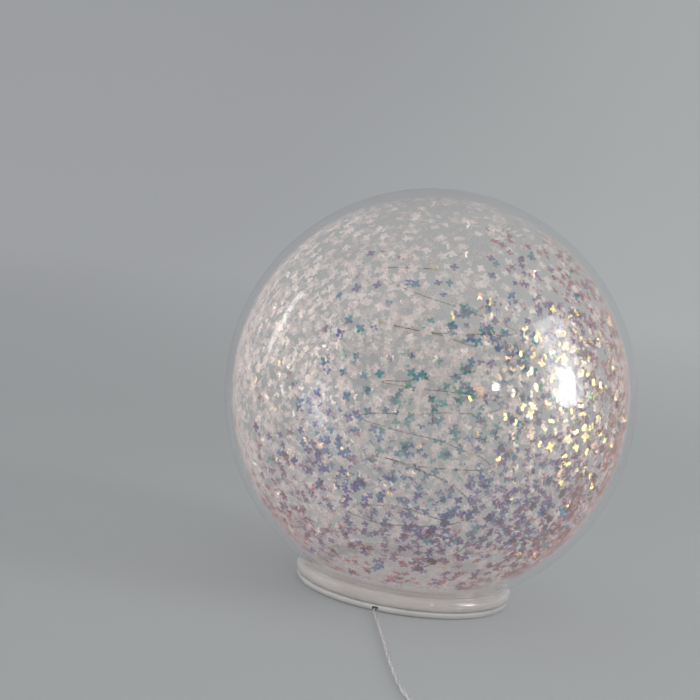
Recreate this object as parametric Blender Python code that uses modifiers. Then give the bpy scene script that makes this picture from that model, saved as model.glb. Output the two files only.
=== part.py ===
"""Glitter globe light.

A clear glass globe, lined inside with iridescent flakes, stands on a push-fit plastic base.
The base carries a stiff micro LED wire that stands inside the globe. A thin twin lead runs
from the base, through a tied coil, to a two-cell battery pack with a slide switch.

Metres, +Z up. The origin is the centre of the base's flat underside, and the lead leaves
towards -Y.
"""

import math

import bmesh
import bpy
from mathutils import Matrix, Vector

# ---------------------------------------------------------------- driving dimensions

GAP = 0.0003                     # left between faces that touch

# Glass globe
GLOBE_RADIUS = 0.075             # outside, at its widest level
GLOBE_DEPTH = 0.0765             # widest level down to where the lower curve would close
GLASS_WALL = 0.0025
NECK_RADIUS = 0.0382             # outside
NECK_LENGTH = 0.0006             # plain ring between the globe's curve and the lip
NECK_FILLET = 0.0008
LIP_STAND_OUT = 0.0018           # lip beyond the neck
LIP_HEIGHT = 0.0044

# Flake lining
LINING_CLEARANCE = 0.0006
LINING_THICKNESS = 0.0006
CROWN_ANGLE = math.radians(18)   # bare glass around the top pole

# Base
FLANGE_HEIGHT = 0.0022
FLANGE_INSET = 0.0005            # flange edge inside the lip's edge
FLANGE_ROUND = 0.0004            # upper edge
FLANGE_FOOT = 0.0014             # lower edge
PLUG_CLEARANCE = 0.0005          # spigot in the neck
SPIGOT_WALL = 0.0022
SPIGOT_HEIGHT = 0.0060           # above the flange
DISC_HEIGHT = 0.0040             # solid floor of the plug
SEAL_DEPTH = 0.0009              # groove for the seal
SEAL_HEIGHT = 0.0014
SEAL_LEVEL = 0.0024              # groove's lower edge above the flange

# Cable gland and the channel that the lead lies in
GLAND_OFFSET = 0.0180            # from the base's axis, towards -Y
GLAND_RADIUS = 0.0024
GLAND_COLLAR = 0.0034
GLAND_COLLAR_HEIGHT = 0.0010
GLAND_NOSE_HEIGHT = 0.0022
GLAND_SHOULDER = 0.0024          # nose's foot on the collar
CHANNEL_CLEARANCE = 0.0004

# Micro LED wire, narrow enough for the globe's bore to lift past it
WIRE_RADIUS = 0.0004
WIRE_TURNS = 6
WIRE_CLEARANCE = 0.0065
WIRE_SWING = 0.0040              # how far its turns wander in and out
WIRE_RIPPLE = 0.0018
WIRE_RISE = 0.1020
WIRE_WAVE = 0.0035               # how far its turns rise and fall
WIRE_STUB = 0.0035               # straight start out of the gland
WIRE_CLIMB = 0.0060              # steep start after the stub
WIRE_POINTS = 120
BEAD_COUNT = 10
BEAD_RADIUS = 0.0015

# Lead, which lies on the surface that the base stands on
LEAD_RADIUS = 0.0007
LEAD_LIFT = 0.0001               # lead's underside above the surface
LEAD_STEP = 0.0034               # spacing of the tube's points
COIL_TURN_RADIUS = 0.0083        # middle of the turns
COIL_LAYERS = 3                  # lead diameters across the bundle, each way
COIL_ACROSS = 0.0500             # coil's centre, +X from the exit
COIL_AWAY = 0.1002               # and beyond the lip's edge
TIE_WIDTH = 0.0026
TIE_THICKNESS = 0.0004
TIE_LIFT = 0.0001
TIE_CLEARANCE = 0.0005           # around the bundle, whose inner side curves

# Battery pack
PACK_END = 0.0680                # x of the end face that the lead enters
PACK_AWAY = 0.1392               # its middle, beyond the lip's edge
PACK_WALL = 0.0016
SIDE_WALL = 0.0028               # thick enough for the cover's hooked skirts
PACK_ROUND = 0.0012
SWITCH_ROOM = 0.0076             # length of the end room
CELL_RADIUS = 0.0070
CELL_LENGTH = 0.0492             # without the positive cap
CELL_CHAMFER = 0.0005
CELL_CAP_RADIUS = 0.0027
CELL_CAP_HEIGHT = 0.0012
CELL_CLEARANCE = 0.0004
SPRING_LENGTH = 0.0034
SPRING_WIRE = 0.0003
SPRING_RADIUS = 0.0034
SPRING_TURNS = 3
CONTACT_THICKNESS = 0.0005
CONTACT_HALF = 0.0045
PIN_RADIUS = 0.0005
BOARD_THICKNESS = 0.0010
BOARD_HEIGHT = 0.0105
BOARD_MARGIN = 0.0012
CHIP_SIZE = (0.0012, 0.0040, 0.0030)
COVER_THICKNESS = 0.0016
COVER_SKIRT = 0.0042
SKIRT_WALL = 0.0012
COVER_HOOK = 0.0006
GRIP_RIBS = 5
GRIP_DEPTH = 0.0005
GRIP_PITCH = 0.0020
GRIP_HALF = 0.0060
SWITCH_LENGTH = 0.0086
SWITCH_WIDTH = 0.0036
SWITCH_HEIGHT = 0.0040
KNOB_LENGTH = 0.0030
KNOB_WIDTH = 0.0020
KNOB_STAND_OUT = 0.0014
KNOB_TRAVEL = 0.0024
RELIEF_LENGTH = 0.0080
RELIEF_RADIUS = 0.0024
RELIEF_NOSE_WALL = 0.0004        # around the lead at the nose's end
RELIEF_LEVEL = 0.0042

# Segments
ROUND_STEPS = 36                 # around the large turned pieces
UPPER_STEPS = 12                 # down the upper half of the globe's curve
LOWER_STEPS = 8                  # down the lower half
LINING_UPPER_STEPS = 9
LINING_LOWER_STEPS = 6
SPRING_STEPS = 10                # in one turn of a spring

# ---------------------------------------------------------------- sizes that follow

LIP_BOTTOM = FLANGE_HEIGHT + GAP
LIP_TOP = LIP_BOTTOM + LIP_HEIGHT
NECK_TOP = LIP_TOP + NECK_LENGTH
LIP_RADIUS = NECK_RADIUS + LIP_STAND_OUT
BORE_RADIUS = NECK_RADIUS - GLASS_WALL
GLOBE_CENTRE = NECK_TOP + GLOBE_DEPTH * math.sqrt(1 - (NECK_RADIUS / GLOBE_RADIUS) ** 2)
SPIGOT_RADIUS = BORE_RADIUS - PLUG_CLEARANCE
GLAND_HOLE = GLAND_RADIUS + GAP
GLAND_TOP = DISC_HEIGHT + GAP + GLAND_COLLAR_HEIGHT + GLAND_NOSE_HEIGHT
WIRE_MEAN_RADIUS = BORE_RADIUS - WIRE_CLEARANCE - WIRE_SWING - WIRE_RIPPLE

LEAD_LEVEL = LEAD_LIFT + LEAD_RADIUS
CHANNEL_HALF = LEAD_RADIUS + CHANNEL_CLEARANCE
CHANNEL_DEPTH = LEAD_LEVEL + CHANNEL_HALF
BUNDLE_HALF = COIL_LAYERS * LEAD_RADIUS
BUNDLE_CORNER = BUNDLE_HALF / math.cos(math.pi / 8)      # of its eight-sided section
COIL_LEVEL = TIE_LIFT + TIE_THICKNESS + TIE_CLEARANCE + BUNDLE_HALF
COIL_Y = -LIP_RADIUS - COIL_AWAY
COIL_SIDE = COIL_ACROSS - COIL_TURN_RADIUS - 2 * LEAD_RADIUS
COIL_MEET = math.sqrt((COIL_TURN_RADIUS + BUNDLE_CORNER + GAP) ** 2
                      - (COIL_TURN_RADIUS + LEAD_RADIUS) ** 2)
LEAD_START = -GLAND_OFFSET - GLAND_RADIUS - GAP

PACK_Y = -LIP_RADIUS - PACK_AWAY
BAY_HALF = 2 * CELL_RADIUS + 1.5 * CELL_CLEARANCE
BAY_LENGTH = (CELL_LENGTH + CELL_CAP_HEIGHT + SPRING_LENGTH
              + 2 * CONTACT_THICKNESS + 5 * GAP)
PACK_WIDTH = 2 * (BAY_HALF + SIDE_WALL)
PACK_HEIGHT = PACK_WALL + 2 * (CELL_RADIUS + GAP) + GAP + COVER_THICKNESS
ROOM_START = PACK_END + PACK_WALL
ROOM_END = ROOM_START + SWITCH_ROOM
ROOM_TOP = PACK_HEIGHT - PACK_WALL
BAY_START = ROOM_END + PACK_WALL
BAY_END = BAY_START + BAY_LENGTH
PACK_FAR_END = BAY_END + PACK_WALL
COVER_START = BAY_START - PACK_WALL / 2
CELL_LEVEL = PACK_WALL + GAP + CELL_RADIUS
CELL_SIDE = CELL_RADIUS + CELL_CLEARANCE / 2
RELIEF_MOUTH = PACK_END - RELIEF_LENGTH - GAP

# The lead's route as laid. The first list runs from the gland to the coil and the second
# from the coil to the pack. Points between the ends are (across, beyond the lip's edge, up).
LEAD_BENDS = [
    (0.0000, 0.0000, 0.0008), (0.0024, 0.0070, 0.0008), (0.0050, 0.0140, 0.0008),
    (0.0087, 0.0240, 0.0008), (0.0121, 0.0335, 0.0008), (0.0158, 0.0440, 0.0008),
    (0.0200, 0.0550, 0.0008), (0.0244, 0.0660, 0.0008), (0.0288, 0.0750, 0.0008),
    (0.0331, 0.0816, 0.0008), (0.0368, 0.0869, 0.0008), (0.0393, 0.0914, 0.0008),
]
TAIL_BENDS = [
    (0.0403, 0.1122, 0.0008), (0.0412, 0.1192, 0.0008), (0.0438, 0.1266, 0.0008),
    (0.0476, 0.1329, 0.0012), (0.0523, 0.1371, 0.0028), (0.0560, 0.1388, 0.0040),
]


# ---------------------------------------------------------------- scene and materials

def clear_scene():
    for item in list(bpy.data.objects):
        bpy.data.objects.remove(item, do_unlink=True)


def new_collection(name):
    made = bpy.data.collections.new(name)
    bpy.context.scene.collection.children.link(made)
    return made


def new_material(name, colour, roughness, metallic=0.0, transmission=0.0):
    material = bpy.data.materials.new(name)
    material.use_nodes = True
    shader = material.node_tree.nodes["Principled BSDF"]
    shader.inputs["Base Color"].default_value = (*colour, 1.0)
    shader.inputs["Roughness"].default_value = roughness
    shader.inputs["Metallic"].default_value = metallic
    shader.inputs["Transmission Weight"].default_value = transmission
    material.diffuse_color = (*colour, 1.0)
    return material


clear_scene()
PARTS = new_collection("glitter_globe_light")
CUTTERS = new_collection("cutters")

GLASS = new_material("clear_glass", (0.92, 0.93, 0.93), 0.04, transmission=1.0)
FLAKES = new_material("iridescent_flakes", (0.78, 0.72, 0.80), 0.2, metallic=0.4)
CLEAR_PLASTIC = new_material("milky_plastic", (0.80, 0.79, 0.78), 0.3)
SEAL_RUBBER = new_material("clear_rubber", (0.70, 0.70, 0.69), 0.5)
COPPER = new_material("copper_wire", (0.55, 0.40, 0.28), 0.3, metallic=1.0)
RESIN = new_material("clear_resin", (0.90, 0.88, 0.80), 0.1, transmission=0.8)
LEAD_PLASTIC = new_material("clear_lead", (0.75, 0.75, 0.74), 0.25)
PACK_PLASTIC = new_material("pack_plastic", (0.82, 0.82, 0.80), 0.4)
KNOB_PLASTIC = new_material("knob_plastic", (0.12, 0.12, 0.13), 0.45)
CELL_SLEEVE = new_material("cell_sleeve", (0.20, 0.30, 0.28), 0.35)
PLATED_STEEL = new_material("plated_steel", (0.75, 0.75, 0.74), 0.25, metallic=1.0)
BOARD = new_material("circuit_board", (0.05, 0.25, 0.12), 0.5)


# ---------------------------------------------------------------- modelling helpers

def add_object(name, data, material=None, collection=PARTS):
    made = bpy.data.objects.new(name, data)
    collection.objects.link(made)
    if material is not None:
        data.materials.append(material)
    return made


def mesh_object(name, shape, material=None, collection=PARTS):
    mesh = bpy.data.meshes.new(name)
    shape.to_mesh(mesh)
    shape.free()
    return add_object(name, mesh, material, collection)


def smooth(piece, angle=math.radians(35)):
    piece.data.shade_smooth()
    piece.data.set_sharp_from_angle(angle=angle)


def turned(name, profile, material, steps=ROUND_STEPS, closed=True):
    """A solid of revolution about Z from (radius, height) points, outer side first."""
    shape = bmesh.new()
    corners = [shape.verts.new((radius, 0.0, height)) for radius, height in profile]
    for start, end in zip(corners, corners[1:]):
        shape.edges.new((start, end))
    if closed:
        shape.edges.new((corners[-1], corners[0]))
    piece = mesh_object(name, shape, material)
    screw = piece.modifiers.new("turn", "SCREW")
    screw.steps = steps
    screw.render_steps = steps
    screw.use_merge_vertices = True
    screw.merge_threshold = 0.00001
    return piece


def block(name, low, high, material=None, collection=PARTS, rounding=0.0):
    """A box between two corners, with its edges rounded where a radius is given."""
    low, high = Vector(low), Vector(high)
    shape = bmesh.new()
    bmesh.ops.create_cube(shape, size=1.0)
    bmesh.ops.transform(shape, matrix=Matrix.Diagonal((*(high - low), 1.0)), verts=shape.verts)
    piece = mesh_object(name, shape, material, collection)
    piece.location = (low + high) / 2
    if rounding:
        bevel = piece.modifiers.new("edges", "BEVEL")
        bevel.width = rounding
        bevel.segments = 2
    return piece


def cylinder(name, radius, low, high, centre, material=None, collection=PARTS, segments=24):
    """An upright cylinder from one height to another at (x, y)."""
    shape = bmesh.new()
    bmesh.ops.create_cone(shape, cap_ends=True, segments=segments, radius1=radius,
                          radius2=radius, depth=high - low)
    piece = mesh_object(name, shape, material, collection)
    piece.location = (*centre, (low + high) / 2)
    return piece


def cut(piece, cutter):
    cutter.hide_render = True
    cutter.display_type = "WIRE"
    boolean = piece.modifiers.new(f"cut_{cutter.name}", "BOOLEAN")
    boolean.operation = "DIFFERENCE"
    boolean.object = cutter


def tube(name, points, radius, material):
    """A round tube with closed ends along a list of points."""
    curve = bpy.data.curves.new(name, "CURVE")
    curve.dimensions = "3D"
    curve.bevel_depth = radius
    curve.bevel_resolution = 2
    curve.use_fill_caps = True
    spline = curve.splines.new("POLY")
    spline.points.add(len(points) - 1)
    for point, place in zip(spline.points, points):
        point.co = (*place, 1.0)
    return add_object(name, curve, material)


def outline(name, points, depth, material=None, collection=PARTS):
    """A flat closed outline in its own XY plane, given a depth along its Z."""
    curve = bpy.data.curves.new(name, "CURVE")
    curve.dimensions = "2D"
    curve.fill_mode = "BOTH"
    curve.extrude = depth / 2
    spline = curve.splines.new("POLY")
    spline.points.add(len(points) - 1)
    for point, place in zip(spline.points, points):
        point.co = (*place, 0.0, 1.0)
    spline.use_cyclic_u = True
    return add_object(name, curve, material, collection)


def as_mesh(piece):
    """The same piece as a closed mesh, so that it can be cut or can cut."""
    bpy.context.view_layer.update()
    evaluated = piece.evaluated_get(bpy.context.evaluated_depsgraph_get())
    mesh = bpy.data.meshes.new_from_object(evaluated)
    shape = bmesh.new()
    shape.from_mesh(mesh)
    bmesh.ops.remove_doubles(shape, verts=shape.verts, dist=0.000001)
    shape.to_mesh(mesh)
    shape.free()
    name = piece.name
    collection = piece.users_collection[0]
    place = piece.matrix_world.copy()
    bpy.data.objects.remove(piece, do_unlink=True)
    made = add_object(name, mesh, None, collection)
    made.matrix_world = place
    return made


def arc(centre, radii, start, end, count):
    """Points on an ellipse arc in the (radius, height) plane; 0 is straight up."""
    made = []
    for step in range(count + 1):
        angle = start + (end - start) * step / count
        made.append((centre[0] + radii[0] * math.sin(angle), centre[1] + radii[1] * math.cos(angle)))
    return made


def smooth_route(route, step):
    """Evenly spaced points on one smooth curve through a route's points."""
    places = [Vector(place) for place in route]
    ends = [2 * places[0] - places[1], *places, 2 * places[-1] - places[-2]]
    fine = []
    for before, start, end, after in zip(ends, ends[1:], ends[2:], ends[3:]):
        for share in (0.0, 0.125, 0.25, 0.375, 0.5, 0.625, 0.75, 0.875):
            fine.append(0.5 * (2 * start + (end - before) * share
                               + (2 * before - 5 * start + 4 * end - after) * share ** 2
                               + (3 * start - before - 3 * end + after) * share ** 3))
    fine.append(places[-1])
    lengths = [0.0]
    for start, end in zip(fine, fine[1:]):
        lengths.append(lengths[-1] + (end - start).length)
    count = max(2, round(lengths[-1] / step))
    even = []
    at = 0
    for number in range(count + 1):
        wanted = lengths[-1] * number / count
        while at < len(lengths) - 2 and lengths[at + 1] < wanted:
            at += 1
        share = (wanted - lengths[at]) / (lengths[at + 1] - lengths[at])
        even.append(fine[at].lerp(fine[at + 1], share))
    return even


# ---------------------------------------------------------------- globe

def shell_arcs(inset, start, end_radius, upper, lower):
    """The globe's curve, moved in by an inset: start angle from the top, down to a radius."""
    radius = GLOBE_RADIUS - inset
    depth = GLOBE_DEPTH - inset
    end = math.pi - math.asin(end_radius / radius)
    top = arc((0.0, GLOBE_CENTRE), (radius, radius), start, math.pi / 2, upper)
    bottom = arc((0.0, GLOBE_CENTRE), (radius, depth), math.pi / 2, end, lower)
    return top + bottom[1:]


def make_globe():
    outside = shell_arcs(0.0, 0.0, NECK_RADIUS + NECK_FILLET, UPPER_STEPS, LOWER_STEPS)
    bead_radius = LIP_HEIGHT / 2
    bead_centre = (LIP_RADIUS - bead_radius, LIP_BOTTOM + bead_radius)
    meet = math.asin((NECK_RADIUS - bead_centre[0]) / bead_radius)
    lip = arc(bead_centre, (bead_radius, bead_radius), meet, math.pi, 6)
    inside = shell_arcs(GLASS_WALL, 0.0, BORE_RADIUS, UPPER_STEPS, LOWER_STEPS)
    profile = outside + [(NECK_RADIUS, NECK_TOP - NECK_LENGTH / 2)] + lip
    profile += [(BORE_RADIUS, LIP_BOTTOM)] + inside[::-1]
    profile[0] = (0.0, profile[0][1])
    profile[-1] = (0.0, profile[-1][1])
    globe = turned("globe_shell", profile, GLASS, closed=False)
    smooth(globe)
    return globe


def make_lining():
    outer_inset = GLASS_WALL + LINING_CLEARANCE
    inner_inset = outer_inset + LINING_THICKNESS
    end_radius = BORE_RADIUS + LINING_THICKNESS
    steps = (LINING_UPPER_STEPS, LINING_LOWER_STEPS)
    outer = shell_arcs(outer_inset, CROWN_ANGLE, end_radius, *steps)
    inner = shell_arcs(inner_inset, CROWN_ANGLE, end_radius, *steps)
    lining = turned("flake_lining", outer + inner[::-1], FLAKES)
    smooth(lining)
    return lining


# ---------------------------------------------------------------- base

def make_plug():
    flange_radius = LIP_RADIUS - FLANGE_INSET
    spigot_top = FLANGE_HEIGHT + SPIGOT_HEIGHT
    groove = FLANGE_HEIGHT + SEAL_LEVEL
    groove_height = SEAL_HEIGHT + 2 * GAP
    well_radius = SPIGOT_RADIUS - SPIGOT_WALL
    profile = [
        (0.0, DISC_HEIGHT), (well_radius, DISC_HEIGHT),
        (well_radius, spigot_top), (SPIGOT_RADIUS, spigot_top),
        (SPIGOT_RADIUS, groove + groove_height),
        (SPIGOT_RADIUS - SEAL_DEPTH, groove + groove_height),
        (SPIGOT_RADIUS - SEAL_DEPTH, groove), (SPIGOT_RADIUS, groove),
        (SPIGOT_RADIUS, FLANGE_HEIGHT), (flange_radius - FLANGE_ROUND, FLANGE_HEIGHT),
        (flange_radius, FLANGE_HEIGHT - FLANGE_ROUND),
    ]
    profile += arc((flange_radius - FLANGE_FOOT, FLANGE_FOOT), (FLANGE_FOOT, FLANGE_FOOT),
                   math.pi / 2, math.pi, 5)
    profile.append((0.0, 0.0))
    plug = turned("base_plug", profile, CLEAR_PLASTIC, closed=False)
    beyond = LIP_RADIUS
    cut(plug, cylinder("gland_hole", GLAND_HOLE, -DISC_HEIGHT, 2 * DISC_HEIGHT,
                       (0.0, -GLAND_OFFSET), collection=CUTTERS))
    cut(plug, block("lead_channel", (-CHANNEL_HALF, -beyond, -CHANNEL_DEPTH),
                    (CHANNEL_HALF, -GLAND_OFFSET, CHANNEL_DEPTH), collection=CUTTERS))
    return plug


def make_seal():
    low = FLANGE_HEIGHT + SEAL_LEVEL + GAP
    inner = SPIGOT_RADIUS - SEAL_DEPTH + GAP
    outer = BORE_RADIUS - GAP
    profile = [(inner, low + SEAL_HEIGHT), (outer, low + SEAL_HEIGHT), (outer, low), (inner, low)]
    return turned("plug_seal", profile, SEAL_RUBBER)


def make_gland():
    collar = DISC_HEIGHT + GAP
    profile = [
        (0.0, GLAND_TOP), (2 * WIRE_RADIUS, GLAND_TOP),
        (GLAND_SHOULDER, collar + GLAND_COLLAR_HEIGHT),
        (GLAND_COLLAR, collar + GLAND_COLLAR_HEIGHT), (GLAND_COLLAR, collar),
        (GLAND_RADIUS, collar), (GLAND_RADIUS, GAP), (0.0, GAP),
    ]
    gland = turned("cable_gland", profile, SEAL_RUBBER, steps=24, closed=False)
    gland.location = (0.0, -GLAND_OFFSET, 0.0)
    smooth(gland)
    return gland


# ---------------------------------------------------------------- LED wire

def wire_point(share):
    """The wire's centreline: it climbs from the gland in wandering, uneven turns."""
    settle = min(1.0, share / 0.12)
    settle = settle * settle * (3 - 2 * settle)
    angle = -math.pi / 2 + 2 * math.pi * WIRE_TURNS * share
    wander = WIRE_SWING * math.sin(14.5 * share + 1.0) + WIRE_RIPPLE * math.sin(37.0 * share)
    radius = GLAND_OFFSET + (WIRE_MEAN_RADIUS + wander - GLAND_OFFSET) * settle
    lift = WIRE_WAVE * math.sin(27.0 * share) * settle
    height = GLAND_TOP + GAP + WIRE_RISE * share + lift
    climb = WIRE_CLIMB * math.sin(math.pi * min(1.0, share / 0.04) / 2)
    return Vector((radius * math.cos(angle), radius * math.sin(angle), height + climb))


def make_wire():
    points = [wire_point(0.0), wire_point(0.0) + Vector((0.0, 0.0, WIRE_STUB))]
    points += [wire_point(step / WIRE_POINTS) for step in range(1, WIRE_POINTS + 1)]
    return tube("light_wire", points, WIRE_RADIUS, COPPER)


def make_beads():
    """Small LED drops beside the wire, evenly spaced along it."""
    spacing = WIRE_POINTS // BEAD_COUNT
    reach = WIRE_RADIUS + BEAD_RADIUS + GAP
    for number in range(BEAD_COUNT):
        place = wire_point((number + 1) * spacing / WIRE_POINTS)
        inward = Vector((-place.x, -place.y, 0.0)).normalized()
        shape = bmesh.new()
        bmesh.ops.create_uvsphere(shape, u_segments=10, v_segments=6, radius=BEAD_RADIUS)
        bead = mesh_object(f"led_bead_{number + 1:02d}", shape, RESIN)
        bead.location = place + inward * reach
        bead.data.shade_smooth()


# ---------------------------------------------------------------- lead

def laid(bends):
    return [(across, -LIP_RADIUS - beyond, up) for across, beyond, up in bends]


def make_lead():
    start = [(0.0, LEAD_START, LEAD_LEVEL), (0.0, (LEAD_START - LIP_RADIUS) / 2, LEAD_LEVEL)]
    to_coil = start + laid(LEAD_BENDS) + [(COIL_SIDE, COIL_Y + COIL_MEET, LEAD_LEVEL)]
    to_pack = [(COIL_SIDE, COIL_Y - COIL_MEET, LEAD_LEVEL)] + laid(TAIL_BENDS)
    to_pack += [(RELIEF_MOUTH, PACK_Y, RELIEF_LEVEL)]
    tube("lead_cord", smooth_route(to_coil, LEAD_STEP), LEAD_RADIUS, LEAD_PLASTIC)
    tube("lead_tail", smooth_route(to_pack, LEAD_STEP), LEAD_RADIUS, LEAD_PLASTIC)


def make_coil():
    """The outer shape of the lead's wound turns, and the strap around it."""
    profile = []
    for step in range(8):
        angle = math.pi / 8 + step * math.pi / 4
        profile.append((COIL_TURN_RADIUS + BUNDLE_CORNER * math.sin(angle),
                        COIL_LEVEL + BUNDLE_CORNER * math.cos(angle)))
    coil = turned("lead_coil", profile, LEAD_PLASTIC)
    coil.location = (COIL_ACROSS, COIL_Y, 0.0)
    smooth(coil)
    bore = BUNDLE_HALF + TIE_CLEARANCE
    outer = bore + TIE_THICKNESS
    centre = Vector((COIL_ACROSS + COIL_TURN_RADIUS, COIL_Y, COIL_LEVEL))
    reach = Vector((outer, TIE_WIDTH / 2, outer))
    tie = block("coil_tie", centre - reach, centre + reach, KNOB_PLASTIC)
    hollow = Vector((bore, TIE_WIDTH, bore))
    cut(tie, block("tie_bore", centre - hollow, centre + hollow, collection=CUTTERS))


# ---------------------------------------------------------------- battery pack

def cover_outline(clearance):
    """The sliding cover's section: a plate with two hooked skirts, grown by a clearance."""
    outer = PACK_WIDTH / 2 + clearance
    skirt = PACK_WIDTH / 2 - SKIRT_WALL - clearance
    hook = skirt - COVER_HOOK
    top = PACK_HEIGHT + clearance
    foot = PACK_HEIGHT - COVER_SKIRT - clearance
    hook_top = PACK_HEIGHT - COVER_SKIRT + COVER_HOOK + clearance
    plate = PACK_HEIGHT - COVER_THICKNESS - clearance
    shoulder = arc((outer - PACK_ROUND, top - PACK_ROUND), (PACK_ROUND, PACK_ROUND),
                   0.0, math.pi / 2, 3)
    right = shoulder + [(outer, foot), (hook, foot), (hook, hook_top), (skirt, hook_top),
                        (skirt, plate)]
    return right + [(-across, up) for across, up in right[::-1]]


def cover_solid(name, clearance, start, end, collection=PARTS):
    """The cover's section run along X between two places."""
    piece = outline(name, cover_outline(clearance), end - start, None, collection)
    piece.rotation_euler = (math.pi / 2, 0.0, math.pi / 2)
    piece.location = ((start + end) / 2, PACK_Y, 0.0)
    return as_mesh(piece)


def along_x(piece, start, across, level, turn=1):
    """Lay a piece made standing at its own foot along +X, or along -X with turn -1."""
    piece.rotation_euler = (0.0, turn * math.pi / 2, 0.0)
    piece.location = (start, across, level)
    return piece


def hole_along_x(name, radius, start, end, across, level):
    """A round cutter between two places along X."""
    cutter = cylinder(name, radius, 0.0, end - start, (0.0, 0.0), collection=CUTTERS)
    return along_x(cutter, (start + end) / 2, across, level)


def make_case():
    half = PACK_WIDTH / 2
    case = block("battery_case", (PACK_END, PACK_Y - half, 0.0),
                 (PACK_FAR_END, PACK_Y + half, PACK_HEIGHT), PACK_PLASTIC, rounding=PACK_ROUND)
    above = 2 * PACK_HEIGHT
    room_half = half - SIDE_WALL
    slot_half = (KNOB_LENGTH + KNOB_TRAVEL) / 2 + GAP
    slot_middle = (ROOM_START + ROOM_END) / 2
    slot_reach = KNOB_WIDTH / 2 + GAP
    cut(case, block("cell_bay", (BAY_START, PACK_Y - BAY_HALF, PACK_WALL),
                    (BAY_END, PACK_Y + BAY_HALF, above), collection=CUTTERS))
    cut(case, block("room_space", (ROOM_START, PACK_Y - room_half, PACK_WALL),
                    (ROOM_END, PACK_Y + room_half, ROOM_TOP), collection=CUTTERS))
    cut(case, block("knob_slot", (slot_middle - slot_reach, PACK_Y - slot_half, CELL_LEVEL),
                    (slot_middle + slot_reach, PACK_Y + slot_half, above),
                    collection=CUTTERS))
    cut(case, cover_solid("cover_channel", GAP, COVER_START - GAP, 2 * PACK_FAR_END, CUTTERS))
    cut(case, hole_along_x("lead_entry", RELIEF_RADIUS + GAP, PACK_END - PACK_WALL,
                           ROOM_START + PACK_WALL / 2, PACK_Y, RELIEF_LEVEL))
    for number, side in ((1, 1), (2, -1)):
        cut(case, hole_along_x(f"pin_hole_{number}", PIN_RADIUS + GAP, ROOM_END - PACK_WALL / 2,
                               BAY_START + PACK_WALL / 2, PACK_Y + side * CELL_SIDE,
                               CELL_LEVEL))


def make_cover():
    cover = cover_solid("battery_cover", 0.0, COVER_START, PACK_FAR_END)
    cover.data.materials.append(PACK_PLASTIC)
    for number in range(GRIP_RIBS):
        start = COVER_START + (number + 1.5) * GRIP_PITCH
        cut(cover, block(f"grip_{number}", (start, PACK_Y - GRIP_HALF, PACK_HEIGHT - GRIP_DEPTH),
                         (start + GRIP_PITCH / 2, PACK_Y + GRIP_HALF, 2 * PACK_HEIGHT),
                         collection=CUTTERS))


def make_cells():
    """Two cells side by side, one each way round."""
    plate_room = GAP + CONTACT_THICKNESS + GAP
    spring_room = plate_room + SPRING_LENGTH + GAP
    profile = [
        (0.0, CELL_LENGTH + CELL_CAP_HEIGHT), (CELL_CAP_RADIUS, CELL_LENGTH + CELL_CAP_HEIGHT),
        (CELL_CAP_RADIUS, CELL_LENGTH), (CELL_RADIUS - CELL_CHAMFER, CELL_LENGTH),
        (CELL_RADIUS, CELL_LENGTH - CELL_CHAMFER), (CELL_RADIUS, CELL_CHAMFER),
        (CELL_RADIUS - CELL_CHAMFER, 0.0), (0.0, 0.0),
    ]
    for number, side in ((1, 1), (2, -1)):
        cell = turned(f"cell_{number}", profile, CELL_SLEEVE, steps=24, closed=False)
        smooth(cell)
        foot = BAY_START + spring_room if side == 1 else BAY_END - spring_room
        spring = BAY_START + plate_room if side == 1 else BAY_END - plate_room
        along_x(cell, foot, PACK_Y + side * CELL_SIDE, CELL_LEVEL, side)
        make_spring(f"contact_spring_{number}", spring, side)


def make_spring(name, foot, side):
    """A coil spring that stands on its plate and presses on a cell's flat end."""
    count = SPRING_TURNS * SPRING_STEPS
    rise = side * (SPRING_LENGTH - 2 * SPRING_WIRE) / count
    points = []
    for step in range(count + 1):
        angle = 2 * math.pi * step / SPRING_STEPS
        points.append((foot + side * SPRING_WIRE + rise * step,
                       PACK_Y + side * CELL_SIDE + SPRING_RADIUS * math.cos(angle),
                       CELL_LEVEL + SPRING_RADIUS * math.sin(angle)))
    tube(name, points, SPRING_WIRE, PLATED_STEEL)


def make_contacts():
    """Two plates at the switch end, pinned through the wall, and one bridge at the far end."""
    start = BAY_START + GAP
    for number, name, side in ((1, "negative_plate", 1), (2, "positive_plate", -1)):
        across = PACK_Y + side * CELL_SIDE
        block(name, (start, across - CONTACT_HALF, CELL_LEVEL - CONTACT_HALF),
              (start + CONTACT_THICKNESS, across + CONTACT_HALF, CELL_LEVEL + CONTACT_HALF),
              PLATED_STEEL)
        pin = cylinder(f"link_pin_{number}", PIN_RADIUS, 0.0, PACK_WALL, (0.0, 0.0),
                       PLATED_STEEL, segments=12)
        along_x(pin, (ROOM_END + BAY_START) / 2, across, CELL_LEVEL)
    end = BAY_END - GAP
    reach = CELL_SIDE + CONTACT_HALF
    block("bridge_plate", (end - CONTACT_THICKNESS, PACK_Y - reach, CELL_LEVEL - CONTACT_HALF),
          (end, PACK_Y + reach, CELL_LEVEL + CONTACT_HALF), PLATED_STEEL)


def make_board():
    half = PACK_WIDTH / 2 - SIDE_WALL - BOARD_MARGIN
    face = ROOM_END - GAP - BOARD_THICKNESS
    foot = PACK_WALL + GAP
    block("circuit_board", (face, PACK_Y - half, foot),
          (ROOM_END - GAP, PACK_Y + half, foot + BOARD_HEIGHT), BOARD)
    chip = Vector(CHIP_SIZE)
    corner = Vector((face - GAP - chip.x, PACK_Y + half / 2, foot + BOARD_HEIGHT / 4))
    block("driver_chip", corner, corner + chip, KNOB_PLASTIC)


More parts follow.
